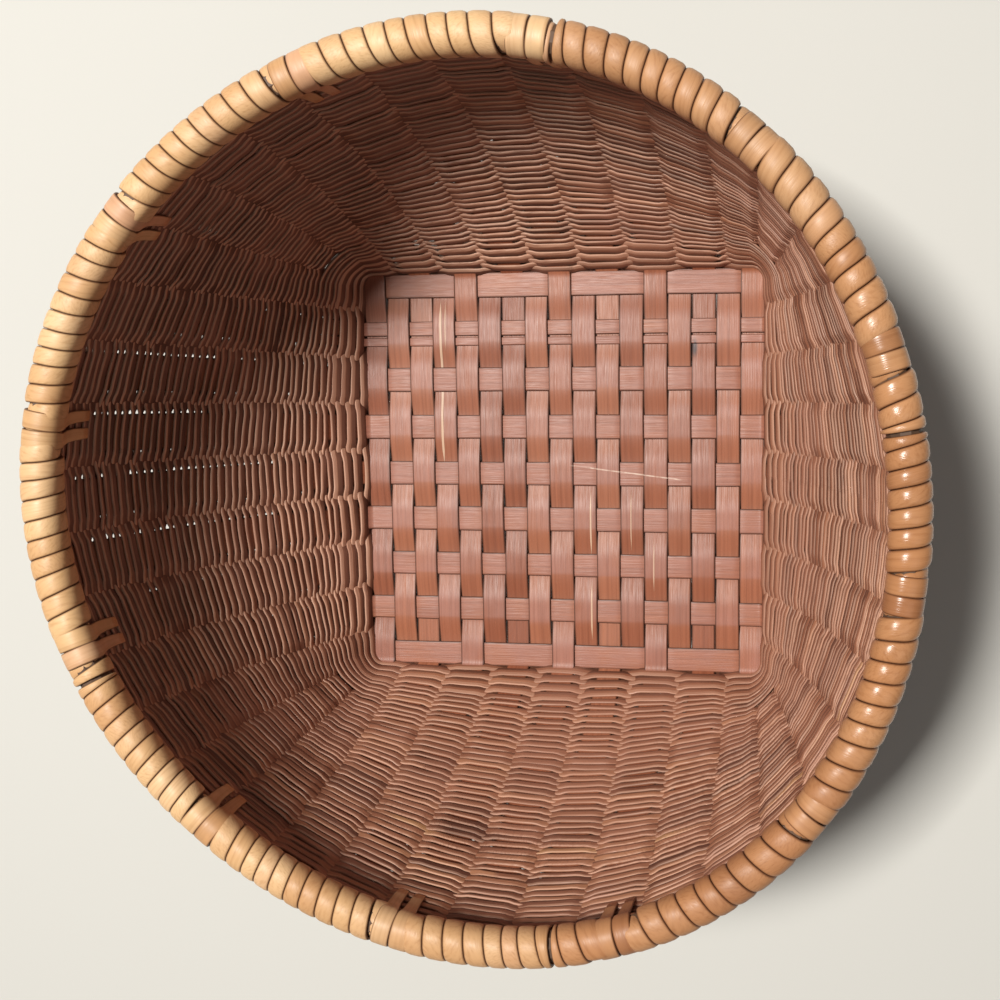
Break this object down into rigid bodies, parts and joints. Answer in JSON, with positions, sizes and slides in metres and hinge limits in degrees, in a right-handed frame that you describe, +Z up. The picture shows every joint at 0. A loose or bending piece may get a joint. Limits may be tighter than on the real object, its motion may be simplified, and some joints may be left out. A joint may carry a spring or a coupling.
{
  "type": "winnowing basket",
  "caption": "Woven bamboo basket with a square plaited base, flaring walls of fine strands and a round rim bound with split cane.",
  "frame": {"origin": "on the ground under the middle of the rim's bounding box", "axes": "+Z up from the base to the rim, +X along the cross splints, +Y along the long splints"},
  "size_m": [0.3479, 0.3537, 0.1715],
  "materials": {
    "bamboo_splint": "dry, aged splint with a dull brown surface",
    "bamboo_strand": "dark, smoke-browned strand with a slight sheen",
    "split_cane": "honey-coloured cane skin, satin",
    "rim_hoop": "plain, unfinished"
  },
  "bodies": {
    "root": {"base_filler_1": "bamboo_splint", "base_filler_2": "bamboo_splint", "base_filler_3": "bamboo_splint", "base_filler_4": "bamboo_splint", "base_filler_5": "bamboo_splint", "base_filler_6": "bamboo_splint", "base_filler_7": "bamboo_splint", "base_filler_8": "bamboo_splint", "long_stake_1": "bamboo_splint", "long_stake_2": "bamboo_splint", "long_stake_3": "bamboo_splint", "long_stake_4": "bamboo_splint", "long_stake_5": "bamboo_splint", "long_stake_6": "bamboo_splint", "long_stake_7": "bamboo_splint", "long_stake_8": "bamboo_splint", "long_stake_9": "bamboo_splint", "cross_stake_1": "bamboo_splint", "cross_stake_2": "bamboo_splint", "cross_stake_3": "bamboo_splint", "cross_stake_4": "bamboo_splint", "cross_stake_5": "bamboo_splint", "cross_stake_6": "bamboo_splint", "cross_stake_7": "bamboo_splint", "cross_stake_8": "bamboo_splint", "cross_stake_9": "bamboo_splint", "corner_stake_1": "bamboo_splint", "corner_stake_2": "bamboo_splint", "corner_stake_3": "bamboo_splint", "corner_stake_4": "bamboo_splint", "weaver_course_1": "bamboo_strand", "weaver_course_2": "bamboo_strand", "weaver_course_3": "bamboo_strand", "weaver_course_4": "bamboo_strand", "weaver_course_5": "bamboo_strand", "weaver_course_6": "bamboo_strand", "weaver_course_7": "bamboo_strand", "weaver_course_8": "bamboo_strand", "weaver_course_9": "bamboo_strand", "weaver_course_10": "bamboo_strand", "weaver_course_11": "bamboo_strand", "weaver_course_12": "bamboo_strand", "rim_hoop": "rim_hoop", "rim_wrap_1": "split_cane", "rim_wrap_2": "split_cane", "rim_wrap_3": "split_cane", "rim_wrap_4": "split_cane", "rim_stitch_1": "split_cane", "rim_stitch_2": "split_cane", "rim_stitch_3": "split_cane", "rim_stitch_4": "split_cane", "rim_stitch_5": "split_cane", "rim_stitch_6": "split_cane", "rim_stitch_7": "split_cane", "rim_stitch_8": "split_cane", "rim_stitch_9": "split_cane", "rim_stitch_10": "split_cane", "rim_stitch_11": "split_cane", "rim_stitch_12": "split_cane"}
  },
  "joints": []
}
